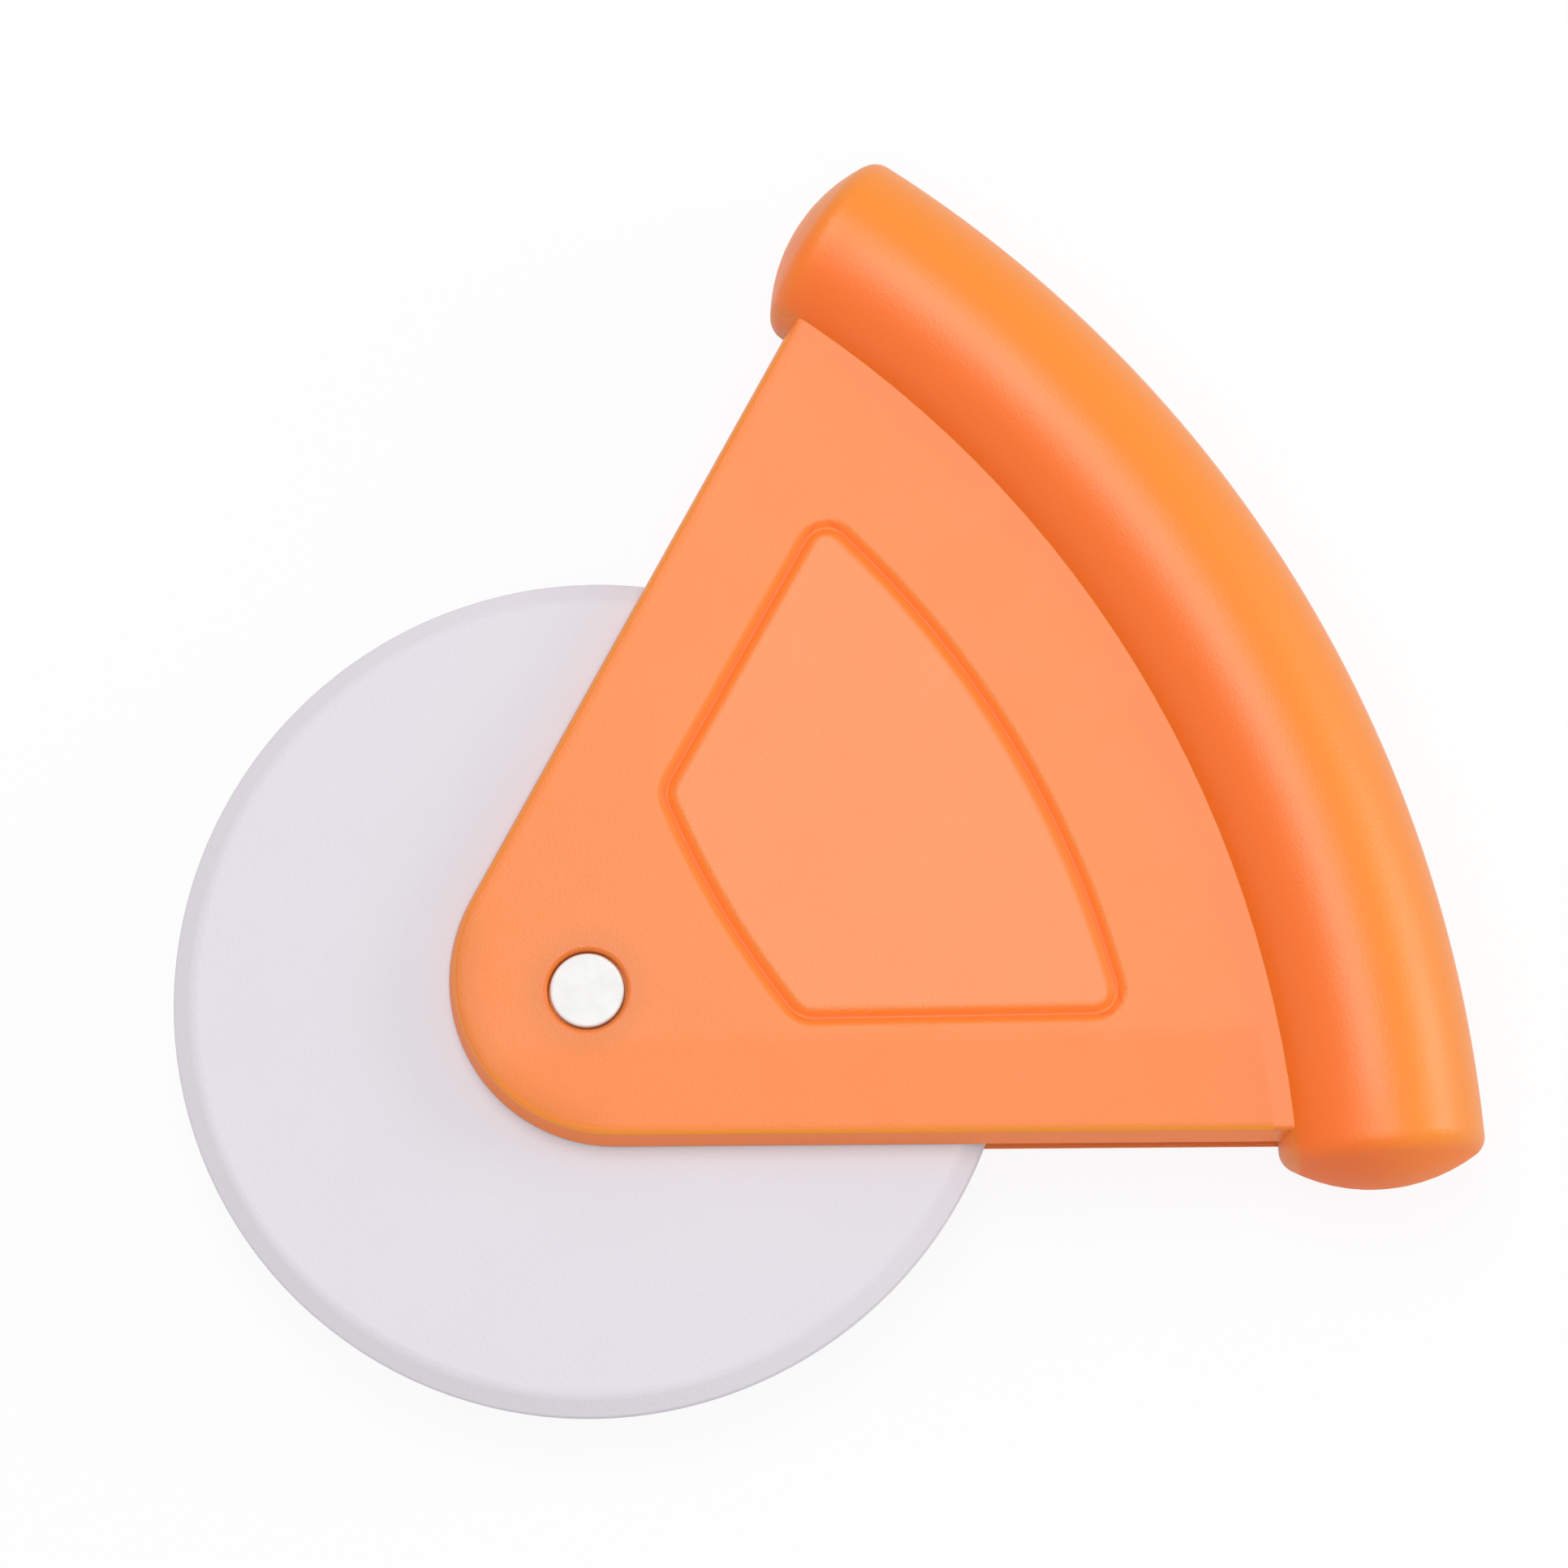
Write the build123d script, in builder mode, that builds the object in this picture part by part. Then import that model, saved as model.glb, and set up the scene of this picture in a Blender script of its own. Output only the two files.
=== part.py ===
from build123d import *
from math import cos, degrees, radians, sin, sqrt, tan
import os

# Pizza wheel shaped like a slice of pizza. A white plastic wheel turns in the slot of an orange
# slice-shaped handle. The handle is two moulded half shells that meet on the wheel's middle
# plane: each is a flat cheek with half of the hollow crust roll that fills the palm. A two-piece
# press rivet ties the cheeks together and carries the wheel.
#
# Millimetres, +Z up. The object lies on its crust with the front cheek on top and the wheel
# level. +X runs along the bisector of the slice, from the wheel to the crust, and the origin is
# on the ground under the middle of the object.

# Cutting wheel
wheel_diameter = 70.0
wheel_thickness = 3.2
bevel_width = 1.75
bevel_blend_radius = 1.5
cutting_edge_width = 1.0
cutting_edge_radius = 0.3
hub_ring_diameter = 13.0
hub_ring_height = 0.15

# Axle rivet: a stem pressed into a hollow barrel, with equal heads
barrel_diameter = 4.4
stem_diameter = 2.6
rivet_head_diameter = 6.15
rivet_head_thickness = 1.4
rivet_head_edge_radius = 0.25
stem_length = 5.6
stem_lead_in = 0.4
barrel_end_gap = 0.1
barrel_bore_depth = 6.0
running_clearance = 0.05

# Cheeks: flat plates in the outline of a slice, with the axle near the tip
slot_width = 3.6
cheek_thickness = 3.0
slice_half_angle = 30.6
edge_offset = 12.67
tip_radius = 14.0
cheek_edge_taper = 12.5
cheek_shoulder_width = 0.7
cheek_shoulder_drop = 0.09
cheek_shoulder_radius = 3.0
cheek_edge_radius = 0.45
cheek_length = 75.0
cheek_root_depth = 3.0
head_recess_diameter = 6.6
head_recess_depth = 1.5
head_recess_edge_radius = 0.4

# Panel outlined by a groove in the cheek's face
panel_half_angle = 30.1
panel_edge_offset = 2.64
panel_tip_reach = 13.0
panel_tip_radius = 73.5
panel_back_radius = 83.2
panel_front_corner_radius = 2.6
panel_back_corner_radius = 2.0
groove_width = 1.3
groove_wall_slope = 33.0
groove_floor_radius = 0.25
groove_edge_radius = 1.0

# Crust: a hollow roll bent to an arc behind the slice, with domed ends
crust_centre_offset = 42.5
crust_line_radius = 102.3
crust_radius = 8.5
crust_half_angle = 26.12
crust_wall = 2.0
dome_height = 2.75
dome_rim_radius = 1.7
seam_gap = 0.12

# Ribs, pegs and sockets inside the shells
rib_thickness = 1.6
rib_angles = (-15.0, 0.0, 15.0)
peg_angles = (-15.0, 15.0)
peg_diameter = 3.0
peg_length = 4.0
peg_lead_in = 0.4
peg_boss_diameter = 6.0
socket_depth = 4.5
spacer_radius = 38.5
spacer_thickness = 2.0
spacer_half_angle = 43.0

# Places worked out from the driving dimensions
wheel_radius = wheel_diameter / 2
crust_reach = crust_line_radius + crust_radius - crust_centre_offset
axle_x = (wheel_radius - crust_reach) / 2
arc_centre_x = axle_x - crust_centre_offset
half_slot = slot_width / 2
cheek_face = half_slot + cheek_thickness
recess_floor = cheek_face - head_recess_depth
tip_centre = (tip_radius - edge_offset) / sin(radians(slice_half_angle))
cheek_back_radius = crust_line_radius - crust_radius + cheek_root_depth
panel_apex = -panel_edge_offset / sin(radians(panel_half_angle))
groove_depth = groove_width / 2 * tan(radians(groove_wall_slope))
dome_radius = (crust_radius**2 + dome_height**2) / (2 * dome_height)
boss_height = crust_radius - crust_wall / 2
axle_axis = Axis((axle_x, 0, 0), (0, 0, 1))
axle_section = Plane(origin=(axle_x, 0, crust_radius), x_dir=(1, 0, 0), z_dir=(0, -1, 0))


def level(height):
    """Plane parallel to the wheel, this far above its middle plane, with its origin on the axle."""
    return Plane(origin=(axle_x, 0, crust_radius + height))


def crust_section(angle):
    """Plane across the crust at an angle about its arc's centre: local x is radial, local y is up."""
    radial = Vector(cos(radians(angle)), sin(radians(angle)), 0)
    return Plane(origin=(arc_centre_x, 0, crust_radius), x_dir=radial, z_dir=radial.cross(Vector(0, 0, 1)))


def crust_point(angle):
    """Point on the crust's centre line, on the middle plane, in the axle's own coordinates."""
    along = crust_line_radius * cos(radians(angle)) - crust_centre_offset
    return (along, crust_line_radius * sin(radians(angle)))


def crust_roll(inset):
    """Round bent bar with domed ends, its whole surface lying this far inside the crust's own."""
    radius = crust_radius - inset
    cap_radius = dome_radius - inset
    cap_base = sqrt(cap_radius**2 - radius**2)
    end_shift = cap_base - (dome_radius - dome_height)
    half_angle = crust_half_angle + degrees(end_shift / crust_line_radius)
    with BuildPart() as roll:
        with BuildSketch(crust_section(-half_angle)):
            with Locations((crust_line_radius, 0)):
                Circle(radius)
        revolve(axis=Axis((arc_centre_x, 0, 0), (0, 0, 1)), revolution_arc=2 * half_angle)
        for side in (-1, 1):
            section = crust_section(side * half_angle)
            centre = section.from_local_coords(Vector(crust_line_radius, 0, 0))
            outward = section.z_dir * -side
            with BuildSketch(Plane(origin=centre, x_dir=section.x_dir, z_dir=section.x_dir.cross(outward))):
                with BuildLine():
                    base = Line((0, 0), (radius, 0))
                    dome = RadiusArc(base @ 1, (0, cap_radius - cap_base), -cap_radius)
                    Line(dome @ 1, base @ 0)
                make_face()
            revolve(axis=Axis(centre, outward))
    return roll.part


# Outside of half the crust, with its rims rounded over
with BuildPart() as half_crust:
    add(crust_roll(0))
    circles = half_crust.edges().filter_by(GeomType.CIRCLE).group_by(SortBy.RADIUS)
    fillet(circles[0], dome_rim_radius)
    split(bisect_by=level(seam_gap / 2), keep=Keep.TOP)

# Half shell: what the front and the rear shell have in common, drawn as the front one
with BuildPart() as half_shell:
    # Cheek in the outline of a slice, its edge sloping in from the slot to a soft shoulder
    with BuildSketch(level(half_slot)):
        with BuildLine():
            tip = CenterArc((tip_centre, 0), tip_radius, 90 + slice_half_angle, 180 - 2 * slice_half_angle)
            upper_edge = PolarLine(tip @ 0, cheek_length, slice_half_angle)
            lower_edge = PolarLine(tip @ 1, cheek_length, -slice_half_angle)
            Line(upper_edge @ 1, lower_edge @ 1)
        make_face()
        with Locations((-crust_centre_offset, 0)):
            Circle(cheek_back_radius, mode=Mode.INTERSECT)
    extrude(amount=cheek_thickness, taper=cheek_edge_taper)
    cheek_top = half_shell.faces().sort_by(Axis.Z)[-1]
    top_edges = cheek_top.edges().sort_by(Axis.X)[:-1]
    chamfer(top_edges, cheek_shoulder_width, cheek_shoulder_drop, reference=cheek_top)
    level_edges = half_shell.edges().filter_by(Plane.XY).group_by(Axis.Z)
    fillet(level_edges[-2], cheek_edge_radius)
    fillet(level_edges[-1].sort_by(Axis.X)[:-1], cheek_shoulder_radius)

    # Groove round the panel: a slice outline between two arcs, cut as a soft V
    with BuildSketch(level(cheek_face), mode=Mode.PRIVATE) as panel:
        with BuildLine():
            upper_side = PolarLine((panel_apex, 0), cheek_length, panel_half_angle)
            lower_side = PolarLine((panel_apex, 0), cheek_length, -panel_half_angle)
            Line(upper_side @ 1, lower_side @ 1)
        make_face()
        with Locations((-crust_centre_offset, 0)):
            Circle(panel_back_radius, mode=Mode.INTERSECT)
        with Locations((panel_tip_reach + panel_tip_radius, 0)):
            Circle(panel_tip_radius, mode=Mode.INTERSECT)
        fillet(panel.vertices().sort_by(Axis.X)[:2], panel_front_corner_radius)
        across = panel.vertices().sort_by(Axis.Y)
        fillet((across[0], across[-1]), panel_back_corner_radius)
    groove_line = panel.sketch.faces()[0].outer_wire()
    groove_start = Plane(
        origin=groove_line @ 0,
        x_dir=Vector(0, 0, 1).cross(groove_line % 0),
        z_dir=groove_line % 0,
    )
    with BuildSketch(groove_start) as groove_section:
        with BuildLine():
            Polyline((-groove_width / 2, 0), (0, -groove_depth), (groove_width / 2, 0), close=True)
        make_face()
        fillet(groove_section.vertices().sort_by(Axis.Y)[0], groove_floor_radius)
    sweep(path=groove_line, mode=Mode.SUBTRACT)
    fillet(half_shell.edges(Select.LAST).group_by(Axis.Z)[-1], groove_edge_radius)

    # Rivet hole with a recess that takes the head below the face
    with Locations(level(cheek_face)):
        CounterBoreHole(barrel_diameter / 2 + running_clearance, head_recess_diameter / 2, head_recess_depth)
    fillet(half_shell.edges(Select.LAST).group_by(Axis.Z)[-1], head_recess_edge_radius)

    # Hollow crust with cross ribs, and bosses on the ribs for the pegs
    add(half_crust.part)
    add(crust_roll(crust_wall), mode=Mode.SUBTRACT)
    for angle in rib_angles:
        with BuildSketch(crust_section(angle)):
            with Locations((crust_line_radius, 0)):
                Circle(boss_height)
                Rectangle(2 * boss_height, boss_height, align=(Align.CENTER, Align.MIN), mode=Mode.INTERSECT)
        extrude(amount=rib_thickness / 2, both=True)
    with BuildSketch(level(0)):
        with Locations(*[crust_point(angle) for angle in peg_angles]):
            Circle(peg_boss_diameter / 2)
    extrude(amount=boss_height)

    # Spacer rib round the wheel that keeps the cheeks apart
    with BuildSketch(level(0)):
        with BuildLine():
            CenterArc((0, 0), spacer_radius, -spacer_half_angle, 2 * spacer_half_angle)
        trace(line_width=spacer_thickness)
    extrude(amount=half_slot)

# Front shell: the half shell with pegs standing on its bosses
with BuildPart() as front_shell:
    add(half_shell.part)
    with BuildSketch(level(0)):
        with Locations(*[crust_point(angle) for angle in peg_angles]):
            Circle(peg_diameter / 2)
    extrude(amount=-peg_length)
    chamfer(front_shell.edges().group_by(Axis.Z)[0], peg_lead_in)
front_shell.part.label = "front_shell"

# Rear shell: the half shell mirrored, with a socket in each boss
with BuildPart() as rear_shell:
    mirror(half_shell.part, about=level(0))
    with Locations(*[level(0).from_local_coords(Vector(*crust_point(angle))) for angle in peg_angles]):
        Hole(peg_diameter / 2, socket_depth)
rear_shell.part.label = "rear_shell"

# Cutting wheel: a flat disc with a blunt double bevel and a low hub ring on each side
with BuildPart() as cutting_wheel:
    with BuildSketch(axle_section):
        with BuildLine():
            Polyline(
                (barrel_diameter / 2 + running_clearance, 0),
                (wheel_radius, 0),
                (wheel_radius, cutting_edge_width / 2),
                (wheel_radius - bevel_width, wheel_thickness / 2),
                (hub_ring_diameter / 2, wheel_thickness / 2),
                (hub_ring_diameter / 2, wheel_thickness / 2 + hub_ring_height),
                (barrel_diameter / 2 + running_clearance, wheel_thickness / 2 + hub_ring_height),
                close=True,
            )
        make_face()
        mirror(about=Plane.XZ)
    revolve(axis=axle_axis)
    circles = cutting_wheel.edges().filter_by(GeomType.CIRCLE).group_by(SortBy.RADIUS)
    fillet(circles[-1], cutting_edge_radius)
    fillet(circles[-2], bevel_blend_radius)
cutting_wheel.part.label = "cutting_wheel"

# Axle barrel: the hollow half of the rivet, from the rear head to just short of the front one
with BuildPart() as axle_barrel:
    with BuildSketch(level(-recess_floor)):
        Circle(rivet_head_diameter / 2)
    extrude(amount=-rivet_head_thickness)
    fillet(axle_barrel.edges().group_by(Axis.Z)[0], rivet_head_edge_radius)
    with BuildSketch(level(-recess_floor)):
        Circle(barrel_diameter / 2)
    extrude(amount=2 * recess_floor - barrel_end_gap)
    with Locations(level(recess_floor - barrel_end_gap)):
        Hole(stem_diameter / 2, barrel_bore_depth)
axle_barrel.part.label = "axle_barrel"

# Axle pin: the front head, with a stem that presses into the barrel
with BuildPart() as axle_pin:
    with BuildSketch(level(recess_floor)):
        Circle(rivet_head_diameter / 2)
    extrude(amount=rivet_head_thickness)
    fillet(axle_pin.edges().group_by(Axis.Z)[-1], rivet_head_edge_radius)
    with BuildSketch(level(recess_floor)):
        Circle(stem_diameter / 2)
    extrude(amount=-stem_length)
    chamfer(axle_pin.edges().group_by(Axis.Z)[0], stem_lead_in)
axle_pin.part.label = "axle_pin"

os.makedirs("parts", exist_ok=True)
for piece in (front_shell, rear_shell, cutting_wheel, axle_barrel, axle_pin):
    export_step(piece.part, f"parts/{piece.part.label}.step")
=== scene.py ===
import math

import bpy
from mathutils import Matrix, Vector

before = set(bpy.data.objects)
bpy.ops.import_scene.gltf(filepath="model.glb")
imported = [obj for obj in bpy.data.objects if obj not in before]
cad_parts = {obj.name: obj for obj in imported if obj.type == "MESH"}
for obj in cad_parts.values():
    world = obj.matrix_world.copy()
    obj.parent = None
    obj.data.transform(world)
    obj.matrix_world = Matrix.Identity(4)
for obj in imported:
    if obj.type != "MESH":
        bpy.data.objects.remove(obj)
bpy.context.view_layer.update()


# Shells
# Two half shells moulded in orange plastic with a satin skin, mirror images of each other.
# Each is a cheek of the slice with half of the hollow crust, and they meet on a hairline seam.
wheel_radius = 0.035
slot_width = 0.0036
cheek_thickness = 0.003
recess_radius = 0.0033
crust_centre_offset = 0.0425
crust_line_radius = 0.1023
crust_radius = 0.0085
crust_half_angle = math.radians(26.12)
panel_half_angle = math.radians(30.1)
panel_edge_offset = 0.00264
panel_back_radius = 0.0832
panel_tip_reach = 0.013
panel_tip_radius = 0.0735
crust_reach = crust_line_radius + crust_radius - crust_centre_offset
crust_foot_radius = crust_line_radius - crust_radius
axle_x = (wheel_radius - crust_reach) / 2
arc_centre_x = axle_x - crust_centre_offset
panel_tip_centre_x = axle_x + panel_tip_reach + panel_tip_radius
cheek_face = slot_width / 2 + cheek_thickness
middle_z = crust_radius

# Where each tint of painted light and shade starts and where it is full: places and distances in metres, or,
# for the shoulder, the edge and the wall, how far the surface faces up or down. Near is toward -Y and far
# toward +Y.
crust_fade = (crust_line_radius - 0.0072, crust_line_radius - 0.0067)
crust_outer_fade = (crust_line_radius - 0.004, crust_line_radius + 0.005)
crust_foot_fade = (crust_foot_radius, crust_foot_radius - 0.0004)
crust_end_fade = (-0.009, 0.001)
far_dome_fade = (-0.003, 0.0005)
near_dome_fade = (-0.0005, 0.001)
panel_fade = (-0.0008, -0.0012)
groove_side_fade = (0.0012, 0.0016)
groove_line_fade = (0.00025, 0.0)
groove_level_fade = (cheek_face - 0.00001, cheek_face - 0.00009)
near_side_fade = (0.0, -0.004)
near_strip_fade = (0.0005, 0.0025)
shoulder_fade = (0.9985, 0.993)
edge_fade = (0.985, 0.8)
wall_fade = (0.6, 0.3)
tip_fade = (axle_x - 0.002, axle_x - 0.009)
tip_edge_fade = (0.0075, 0.0115)
halo_fade = (recess_radius + 0.0031, recess_radius + 0.0001)
rim_fade = (recess_radius + 0.0012, recess_radius - 0.0002)
gap_fade = (recess_radius + 0.0001, recess_radius - 0.00005)

cheek_colour = (0.845, 0.188, 0.001, 1.0)
cheek_colour_pale = (0.854, 0.193, 0.0015, 1.0)
# Paler orange on the panel: a painted sheen.
panel_sheen_colour = (0.865, 0.203, 0.0152, 1.0)
# Redder, darker strip on the near side of the cheek: painted shade.
near_shade_colour = (0.86, 0.184, 0.001, 1.0)
# Darker orange toward the cheek's tip: painted shade.
tip_shade_colour = (0.722, 0.17, 0.001, 1.0)
# Darker ring round the rivet's recess: painted shade.
halo_shade_colour = (0.73, 0.18, 0.0015, 1.0)
# The crust's own orange, painted redder and darker on its inner side as shade.
crust_colour_with_shade = (0.95, 0.159, 0.0005, 1.0)
# Yellower orange on the crust's outer side, where the side lamp falls: painted light.
crust_outer_light_colour = (0.87, 0.238, 0.0014, 1.0)
# Lighter, yellower far dome of the crust: painted light.
far_dome_light_colour = (0.937, 0.186, 0.001, 1.0)
# Near dome of the crust: painted shade on its inner part and painted light on its outer part.
near_dome_shade_colour = (0.905, 0.147, 0.0003, 1.0)
near_dome_outer_light_colour = (1.0, 0.212, 0.004, 1.0)
# Deeper, redder orange in the groove and a darker line along its middle: painted shade.
groove_shade_colour = (1.0, 0.19, 0.001, 1.0)
groove_line_shade_colour = (0.95, 0.145, 0.001, 1.0)
# Yellower, less red band on the shoulder along the near edge: painted light.
shoulder_light_colour = (0.82, 0.212, 0.0005, 1.0)
# Yellower orange on the rounded edges, paler still at the tip: painted light.
edge_light_colour = (0.88, 0.28, 0.001, 1.0)
tip_edge_light_colour = (0.84, 0.27, 0.05, 1.0)
# Pale pinkish orange on the cheek's walls: painted reflection of the white table and its bounce light.
wall_light_colour = (1.0, 0.25, 0.055, 1.0)
# Dark orange on the rim of the rivet's recess: painted shade.
rim_shade_colour = (0.8, 0.155, 0.009, 1.0)
# Brighter orange in the gap round the rivet head, where shade falls: painted light.
gap_light_colour = (1.0, 0.31, 0.025, 1.0)

shell_roughness = (0.43, 0.445)
panel_polish = -0.035
crust_polish = -0.04
crust_end_dulling = 0.16
near_dome_dulling = 0.1
near_dulling = 0.04
shoulder_dulling = 0.11
wall_dulling = 0.12
groove_dulling = 0.05
tip_dulling = 0.09
shell_specular = 0.735
shell_flow_size = 0.018
shell_drift_size = 0.0054
shell_grain_size = 0.00025
shell_grain_depth = 0.00005
flow_detail = 3.0
drift_detail = 2.0
grain_detail = 2.0
grain_strength = 0.6
cloud_span = (0.3, 0.7)
node_step = (220, -200)


def add_node(material, kind, place, **values):
    """A shader node at a grid place, with the named input sockets set to plain values."""
    node = material.node_tree.nodes.new(kind)
    node.location = (place[0] * node_step[0], place[1] * node_step[1])
    for socket, value in values.items():
        node.inputs[socket].default_value = value
    return node


def feed(material, socket, term):
    """Puts a term into a socket: another node's output by a link, a plain value as it is."""
    if isinstance(term, bpy.types.NodeSocket):
        material.node_tree.links.new(term, socket)
    else:
        socket.default_value = term


def reckon(material, place, operation, *terms):
    """One step of arithmetic on the terms, which are outputs or plain numbers."""
    node = add_node(material, "ShaderNodeMath", place)
    node.operation = operation
    for socket, term in zip(node.inputs, terms):
        feed(material, socket, term)
    return node.outputs["Value"]


def fade(material, place, value, start, end):
    """Smooth step: 0 where the value is at start and 1 where it is at end."""
    node = add_node(material, "ShaderNodeMapRange", place)
    node.interpolation_type = "SMOOTHSTEP"
    feed(material, node.inputs["Value"], value)
    feed(material, node.inputs["From Min"], start)
    feed(material, node.inputs["From Max"], end)
    return node.outputs["Result"]


def overlap(material, place, *masks):
    """Product of masks, which is 1 only where each of them is 1."""
    shared = masks[0]
    for step, mask in enumerate(masks[1:]):
        shared = reckon(material, (place[0] + step, place[1]), "MULTIPLY", shared, mask)
    return shared


def opposite(material, place, mask):
    """A mask turned round: 1 where it was 0."""
    return reckon(material, place, "SUBTRACT", 1.0, mask)


def blend(material, place, factor, first, second):
    """Colour between the first and the second, by a factor from 0 to 1."""
    node = add_node(material, "ShaderNodeMix", place)
    node.data_type = "RGBA"
    feed(material, node.inputs["Factor"], factor)
    colours = [socket for socket in node.inputs if socket.type == "RGBA"]
    feed(material, colours[0], first)
    feed(material, colours[1], second)
    return [socket for socket in node.outputs if socket.type == "RGBA"][0]


def clouds(material, place, position, size, detail):
    """Cloudy noise from 0 to 1, with lumps of about this size in metres."""
    node = add_node(material, "ShaderNodeTexNoise", place, Scale=1.0 / size, Detail=detail)
    feed(material, node.inputs["Vector"], position)
    return fade(material, (place[0] + 1, place[1]), node.outputs["Fac"], *cloud_span)


def spread(material, place, factor, low, high):
    """Number that runs from low to high as the factor runs from 0 to 1."""
    return reckon(material, place, "MULTIPLY_ADD", factor, high - low, low)


def distance_from(material, place, position, centre_x):
    """Distance from an upright line through the bisector of the slice at this x."""
    level = add_node(material, "ShaderNodeVectorMath", place)
    level.operation = "MULTIPLY"
    feed(material, level.inputs[0], position)
    level.inputs[1].default_value = (1.0, 1.0, 0.0)
    gap = add_node(material, "ShaderNodeVectorMath", (place[0] + 1, place[1]))
    gap.operation = "DISTANCE"
    feed(material, gap.inputs[0], level.outputs["Vector"])
    gap.inputs[1].default_value = (centre_x, 0.0, 0.0)
    return gap.outputs["Value"]


def plain_plastic(name, specular):
    """A new material with its surface node and its coordinates node."""
    material = bpy.data.materials.new(name)
    material.use_nodes = True
    surface = material.node_tree.nodes["Principled BSDF"]
    surface.inputs["Specular IOR Level"].default_value = specular
    coordinates = add_node(material, "ShaderNodeTexCoord", (-14, 0))
    return material, surface, coordinates


def skin_grain(material, surface, position, size, depth):
    """Fine bumps of the mould's skin all over the surface."""
    grain = add_node(material, "ShaderNodeTexNoise", (-3, 2), Scale=1.0 / size, Detail=grain_detail)
    feed(material, grain.inputs["Vector"], position)
    bump = add_node(material, "ShaderNodeBump", (-2, 2), Strength=grain_strength, Distance=depth)
    feed(material, bump.inputs["Height"], grain.outputs["Fac"])
    feed(material, surface.inputs["Normal"], bump.outputs["Normal"])


def shell_terms(material, coordinates):
    """What the masks are worked out from at a point on the shell, each the output of a node.

    x and y are the frame's own, and level is the distance from the middle plane. from_arc and from_axle
    are distances from the upright lines through the crust's centre and the axle, from_panel_tip is
    the distance from the one through the centre of the panel's tip arc, and upright is how far the
    surface faces up or down.
    """
    position = coordinates.outputs["Object"]
    parts = add_node(material, "ShaderNodeSeparateXYZ", (-13, 0))
    feed(material, parts.inputs["Vector"], position)
    height = reckon(material, (-12, 0), "SUBTRACT", parts.outputs["Z"], middle_z)
    facing = add_node(material, "ShaderNodeSeparateXYZ", (-13, 1))
    feed(material, facing.inputs["Vector"], coordinates.outputs["Normal"])
    return {
        "x": parts.outputs["X"],
        "y": parts.outputs["Y"],
        "level": reckon(material, (-11, 0), "ABSOLUTE", height),
        "upright": reckon(material, (-12, 1), "ABSOLUTE", facing.outputs["Z"]),
        "from_arc": distance_from(material, (-13, 2), position, arc_centre_x),
        "from_axle": distance_from(material, (-13, 3), position, axle_x),
        "from_panel_tip": distance_from(material, (-13, 4), position, panel_tip_centre_x),
    }


def crust_masks(material, terms):
    """Masks of the crust, its outer side and its ends.

    A dome starts at a plane through the arc's centre at the crust's half angle. The distance past that
    plane is the cosine of the angle times y, which is turned round for the near dome, less the sine
    times x from the centre.
    """
    on_crust = fade(material, (-9, 3), terms["from_arc"], *crust_fade)
    off_crust = fade(material, (-9, 4), terms["from_arc"], *crust_foot_fade)
    outer = fade(material, (-9, 5), terms["from_arc"], *crust_outer_fade)
    from_centre = reckon(material, (-11, 6), "SUBTRACT", terms["x"], arc_centre_x)
    lean = reckon(material, (-10, 6), "MULTIPLY", from_centre, -math.sin(crust_half_angle))
    slope = math.cos(crust_half_angle)
    past_far = reckon(material, (-9, 6), "MULTIPLY_ADD", terms["y"], slope, lean)
    past_near = reckon(material, (-9, 7), "MULTIPLY_ADD", terms["y"], -slope, lean)
    past_either = reckon(material, (-8, 8), "MAXIMUM", past_far, past_near)
    far_dome = fade(material, (-8, 6), past_far, *far_dome_fade)
    near_dome = fade(material, (-8, 7), past_near, *near_dome_fade)
    off_far_dome = opposite(material, (-7, 6), far_dome)
    inner = opposite(material, (-7, 5), outer)
    ends = fade(material, (-7, 8), past_either, *crust_end_fade)
    ends = overlap(material, (-6, 8), ends, off_far_dome, inner)
    ends = reckon(material, (-4, 8), "MAXIMUM", ends, near_dome)
    return {
        "on_crust": on_crust,
        "off_crust": off_crust,
        "outer": outer,
        "far_dome": far_dome,
        "near_dome": near_dome,
        "ends": overlap(material, (-3, 8), ends, on_crust),
    }


def panel_masks(material, terms, off_crust):
    """Masks of the panel, of the groove round it and of the cheek's strip on the near side, which get a
    painted sheen and painted shade.

    The panel lies inside two straight sides, which mirror each other, and two arcs, and the greatest
    of the signed distances to them is the distance outside the groove's middle line.
    """
    along = reckon(material, (-11, 9), "SUBTRACT", terms["x"], axle_x)
    across = reckon(material, (-11, 10), "ABSOLUTE", terms["y"])
    lean = reckon(material, (-10, 9), "MULTIPLY_ADD", along, -math.sin(panel_half_angle), -panel_edge_offset)
    side = reckon(material, (-9, 9), "MULTIPLY_ADD", across, math.cos(panel_half_angle), lean)
    back = reckon(material, (-9, 10), "SUBTRACT", terms["from_arc"], panel_back_radius)
    tip = reckon(material, (-9, 11), "SUBTRACT", terms["from_panel_tip"], panel_tip_radius)
    outside = reckon(material, (-8, 9), "MAXIMUM", side, back)
    outside = reckon(material, (-7, 9), "MAXIMUM", outside, tip)
    from_groove = reckon(material, (-6, 10), "ABSOLUTE", outside)
    off_groove = fade(material, (-5, 10), from_groove, *groove_side_fade)
    on_groove = opposite(material, (-4, 10), off_groove)
    sunk = fade(material, (-5, 11), terms["level"], *groove_level_fade)
    near_side = fade(material, (-8, 12), terms["y"], *near_side_fade)
    near_strip = fade(material, (-8, 13), side, *near_strip_fade)
    return {
        "panel": fade(material, (-6, 9), outside, *panel_fade),
        "off_groove": off_groove,
        "groove": overlap(material, (-3, 10), sunk, on_groove),
        "groove_line": fade(material, (-5, 12), from_groove, *groove_line_fade),
        "near": overlap(material, (-7, 13), near_side, near_strip, off_crust),
    }


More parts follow.
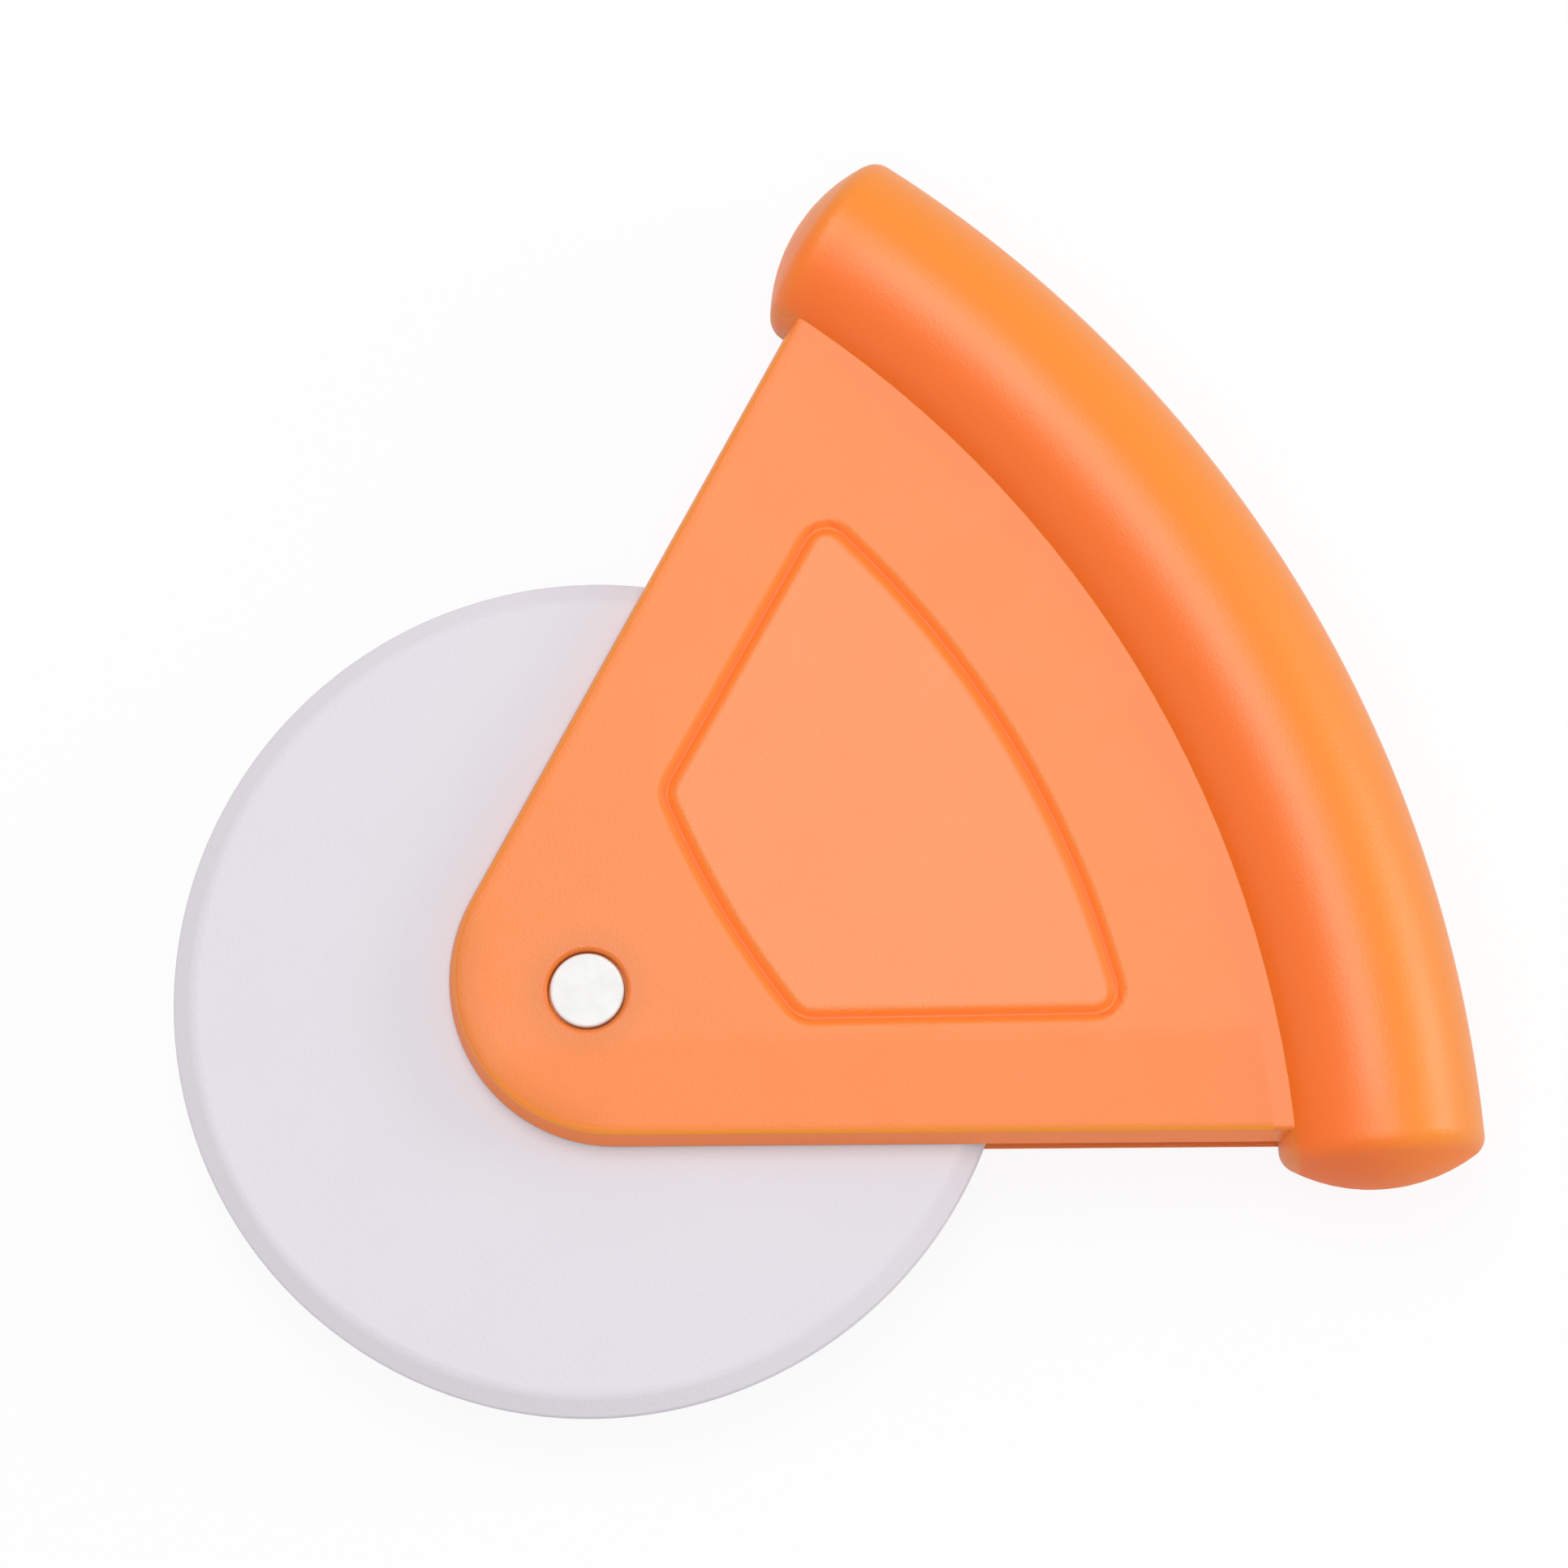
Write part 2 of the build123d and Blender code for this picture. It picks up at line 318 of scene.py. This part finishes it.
def edge_masks(material, terms, off_crust, off_groove, near):
    """Masks of the cheek's rounded edge, of its wall and of the soft shoulder on the near side, which get
    painted light.
    """
    shoulder = fade(material, (-9, 14), terms["upright"], *shoulder_fade)
    edge = fade(material, (-9, 15), terms["upright"], *edge_fade)
    wall = fade(material, (-9, 16), terms["upright"], *wall_fade)
    return {
        "shoulder": overlap(material, (-8, 14), shoulder, near),
        "edge": overlap(material, (-8, 15), edge, off_crust, off_groove),
        "wall": overlap(material, (-8, 16), wall, off_crust),
    }


def rivet_masks(material, terms):
    """Masks of the painted shade on the cheek's tip and of the rings round the rivet: a shaded halo, the
    shaded rim of the recess and the gap, painted lighter.
    """
    tip = fade(material, (-9, 17), terms["x"], *tip_fade)
    tip_edge = fade(material, (-9, 18), terms["from_axle"], *tip_edge_fade)
    return {
        "tip": tip,
        "tip_shade": overlap(material, (-8, 17), tip, tip_edge),
        "halo": fade(material, (-9, 19), terms["from_axle"], *halo_fade),
        "rim": fade(material, (-9, 20), terms["from_axle"], *rim_fade),
        "gap": fade(material, (-9, 21), terms["from_axle"], *gap_fade),
    }


def shell_colour(material, position, masks):
    """Orange in two close tones, with tints of painted light and shade laid over them, each over the ones
    before it where its mask is 1.
    """
    inner_side_shading = blend(material, (-13, -2), masks["far_dome"], crust_colour_with_shade, far_dome_light_colour)
    inner_side_shading = blend(material, (-12, -2), masks["near_dome"], inner_side_shading, near_dome_shade_colour)
    outer_side_light = blend(material, (-12, -3), masks["near_dome"], crust_outer_light_colour, near_dome_outer_light_colour)
    crust_light_and_shade = blend(material, (-11, -2), masks["outer"], inner_side_shading, outer_side_light)
    groove_shade = blend(material, (-10, -2), masks["groove_line"], groove_shade_colour, groove_line_shade_colour)
    edge_light = blend(material, (-9, -2), masks["tip"], edge_light_colour, tip_edge_light_colour)
    tints = (
        ("panel", panel_sheen_colour),
        ("near", near_shade_colour),
        ("tip_shade", tip_shade_colour),
        ("halo", halo_shade_colour),
        ("on_crust", crust_light_and_shade),
        ("groove", groove_shade),
        ("shoulder", shoulder_light_colour),
        ("edge", edge_light),
        ("wall", wall_light_colour),
        ("rim", rim_shade_colour),
        ("gap", gap_light_colour),
    )
    flow = clouds(material, (-15, -1), position, shell_flow_size, flow_detail)
    colour = blend(material, (-13, -1), flow, cheek_colour, cheek_colour_pale)
    for step, (name, tint) in enumerate(tints):
        colour = blend(material, (-12 + step, -1), masks[name], colour, tint)
    return colour


def shell_gloss(material, position, masks):
    """Roughness that drifts a little, smoother on the panel and the crust and duller at edges and ends."""
    changes = (
        ("panel", panel_polish),
        ("on_crust", crust_polish),
        ("ends", crust_end_dulling),
        ("near_dome", near_dome_dulling),
        ("near", near_dulling),
        ("shoulder", shoulder_dulling),
        ("wall", wall_dulling),
        ("groove", groove_dulling),
        ("tip_shade", tip_dulling),
    )
    drift = clouds(material, (-15, -4), position, shell_drift_size, drift_detail)
    roughness = spread(material, (-13, -4), drift, *shell_roughness)
    for step, (name, change) in enumerate(changes):
        roughness = reckon(material, (-12 + step, -4), "MULTIPLY_ADD", masks[name], change, roughness)
    return roughness


def shell_plastic():
    """Orange satin plastic, with painted light: yellower on the crust's outer side and on rounded edges; and
    painted shade: redder in the groove.
    """
    material, surface, coordinates = plain_plastic("shell_plastic", shell_specular)
    position = coordinates.outputs["Object"]
    terms = shell_terms(material, coordinates)
    masks = crust_masks(material, terms)
    masks.update(panel_masks(material, terms, masks["off_crust"]))
    masks.update(edge_masks(material, terms, masks["off_crust"], masks["off_groove"], masks["near"]))
    masks.update(rivet_masks(material, terms))
    feed(material, surface.inputs["Base Color"], shell_colour(material, position, masks))
    feed(material, surface.inputs["Roughness"], shell_gloss(material, position, masks))
    skin_grain(material, surface, position, shell_grain_size, shell_grain_depth)
    return material


orange_shell = shell_plastic()
for name in ("rear_shell", "front_shell"):
    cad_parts[name].material_slots[0].material = orange_shell


# Cutting wheel
# A disc moulded in matte white plastic with a faint cool cast, bevelled to a blunt edge on both sides.
# It turns freely on the rivet barrel in the slot between the cheeks.
wheel_colour = (0.738, 0.721, 0.771, 1.0)
wheel_colour_pale = (0.751, 0.734, 0.782, 1.0)
# Slightly darker, warmer tone round the bevel: painted shading of its slope.
bevel_shading_colour = (0.741, 0.708, 0.757, 1.0)
bevel_fade = (wheel_radius - 0.0022, wheel_radius - 0.0012)
wheel_roughness = (0.54, 0.62)
wheel_specular = 0.12
wheel_flow_size = 0.02
wheel_drift_size = 0.006
wheel_grain_size = 0.00035
wheel_grain_depth = 0.00006


def wheel_plastic():
    """White plastic in two close tones, with painted shading round the bevel."""
    material, surface, coordinates = plain_plastic("wheel_plastic", wheel_specular)
    position = coordinates.outputs["Object"]
    from_axle = distance_from(material, (-7, 1), position, axle_x)
    bevel = fade(material, (-5, 1), from_axle, *bevel_fade)
    flow = clouds(material, (-7, 0), position, wheel_flow_size, flow_detail)
    colour = blend(material, (-4, 0), flow, wheel_colour, wheel_colour_pale)
    colour = blend(material, (-3, 0), bevel, colour, bevel_shading_colour)
    feed(material, surface.inputs["Base Color"], colour)
    drift = clouds(material, (-7, 3), position, wheel_drift_size, drift_detail)
    feed(material, surface.inputs["Roughness"], spread(material, (-4, 3), drift, *wheel_roughness))
    skin_grain(material, surface, position, wheel_grain_size, wheel_grain_depth)
    return material


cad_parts["cutting_wheel"].material_slots[0].material = wheel_plastic()


# Axle rivet
# A press rivet in white plastic: the barrel goes in from the rear with the wheel on it.
# The pin is pressed into the barrel from the front, and both heads lie in the cheeks' recesses.
rivet_colour = (0.81, 0.804, 0.787, 1.0)
rivet_colour_pale = (0.85, 0.844, 0.828, 1.0)
rivet_roughness = (0.4, 0.55)
rivet_specular = 0.5
rivet_flow_size = 0.0016
rivet_drift_size = 0.001
rivet_grain_size = 0.0004
rivet_grain_depth = 0.00002


def rivet_plastic():
    """White plastic, faintly mottled."""
    material, surface, coordinates = plain_plastic("rivet_plastic", rivet_specular)
    position = coordinates.outputs["Object"]
    flow = clouds(material, (-7, 0), position, rivet_flow_size, flow_detail)
    colour = blend(material, (-4, 0), flow, rivet_colour, rivet_colour_pale)
    feed(material, surface.inputs["Base Color"], colour)
    drift = clouds(material, (-7, 3), position, rivet_drift_size, drift_detail)
    feed(material, surface.inputs["Roughness"], spread(material, (-4, 3), drift, *rivet_roughness))
    skin_grain(material, surface, position, rivet_grain_size, rivet_grain_depth)
    return material


white_rivet = rivet_plastic()
for name in ("axle_barrel", "axle_pin"):
    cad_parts[name].material_slots[0].material = white_rivet


# Studio
# A white table under the object in an even light, with a row of soft lamps overhead and a low one on
# the crust's side, and the camera over the front cheek.
floor_half = 3.0
floor_colour = (0.9, 0.9, 0.9, 1.0)
floor_roughness = 0.9
floor_glow_share = 0.9
surround_colour = (1.0, 1.0, 1.0, 1.0)
surround_light = 0.456
surround_white = 1.0

floor_mesh = bpy.data.meshes.new("floor")
floor_mesh.from_pydata(
    [
        (-floor_half, -floor_half, 0.0),
        (floor_half, -floor_half, 0.0),
        (floor_half, floor_half, 0.0),
        (-floor_half, floor_half, 0.0),
    ],
    [],
    [(0, 1, 2, 3)],
)
floor = bpy.data.objects.new("floor", floor_mesh)
bpy.context.scene.collection.objects.link(floor)
floor_paint = bpy.data.materials.new("floor_paint")
floor_paint.use_nodes = True
floor_mesh.materials.append(floor_paint)


def seen_directly(owner, place):
    """1 for rays that show the background: from the camera, in a reflection or through glass."""
    path = add_node(owner, "ShaderNodeLightPath", place)
    camera_ray = path.outputs["Is Camera Ray"]
    glossy_ray = path.outputs["Is Glossy Ray"]
    seen = reckon(owner, (place[0] + 1, place[1]), "MAXIMUM", camera_ray, glossy_ray)
    return reckon(owner, (place[0] + 2, place[1]), "MAXIMUM", seen, path.outputs["Is Transmission Ray"])


floor_surface = floor_paint.node_tree.nodes["Principled BSDF"]
floor_surface.inputs["Base Color"].default_value = floor_colour
floor_surface.inputs["Roughness"].default_value = floor_roughness
floor_glow = add_node(floor_paint, "ShaderNodeEmission", (0, 2))
floor_mix = add_node(floor_paint, "ShaderNodeMixShader", (2, 0))
floor_share = reckon(floor_paint, (1, 1), "MULTIPLY", seen_directly(floor_paint, (-3, 1)), floor_glow_share)
floor_output = floor_paint.node_tree.nodes["Material Output"]
feed(floor_paint, floor_mix.inputs["Fac"], floor_share)
feed(floor_paint, floor_mix.inputs[1], floor_surface.outputs["BSDF"])
feed(floor_paint, floor_mix.inputs[2], floor_glow.outputs["Emission"])
feed(floor_paint, floor_output.inputs["Surface"], floor_mix.outputs["Shader"])

world = bpy.data.worlds.new("studio")
bpy.context.scene.world = world
world.use_nodes = True
surround = world.node_tree.nodes["Background"]
surround.inputs["Color"].default_value = surround_colour
surround_strength = spread(world, (-1, 0), seen_directly(world, (-5, 0)), surround_light, surround_white)
feed(world, surround.inputs["Strength"], surround_strength)


def softbox(name, direction, diameter, radiance):
    """Round area lamp one metre away in a direction from the object, facing it.

    Its power is its area times pi times the radiance, which is the same all over it.
    """
    lamp = bpy.data.lights.new(name, "AREA")
    lamp.shape = "DISK"
    lamp.size = diameter
    lamp.energy = math.pi * diameter**2 / 4 * math.pi * radiance
    lamp_object = bpy.data.objects.new(name, lamp)
    bpy.context.scene.collection.objects.link(lamp_object)
    lamp_object.location = Vector(direction).normalized()
    lamp_object.rotation_euler = (-Vector(direction)).to_track_quat("-Z", "Y").to_euler()


softbox("overhead_softbox", direction=(0.12, 0.22, 0.967), diameter=0.65, radiance=1.83)
softbox("far_softbox", direction=(0.18, 0.34, 0.923), diameter=0.5, radiance=2.76)
softbox("camera_softbox", direction=(-0.03, -0.18, 0.98), diameter=0.35, radiance=6.58)
softbox("crust_side_softbox", direction=(0.91, -0.29, 0.29), diameter=0.5, radiance=3.81)

camera_place = (-0.014007, -0.100250, 0.600544)
camera_right = (0.859008, -0.508087, -0.062863)
camera_up = (0.510854, 0.842593, 0.170484)
camera_back = (-0.033652, -0.178561, 0.983353)
camera_turn = Matrix((camera_right, camera_up, camera_back)).transposed()
camera = bpy.data.objects.new("camera", bpy.data.cameras.new("camera"))
bpy.context.scene.collection.objects.link(camera)
camera.matrix_world = Matrix.Translation(camera_place) @ camera_turn.to_4x4()
camera.data.sensor_width = 36.0
camera.data.lens = 165.526
camera.data.clip_start = 0.01
camera.data.clip_end = 20.0
bpy.context.scene.camera = camera
bpy.context.scene.view_settings.view_transform = "Standard"
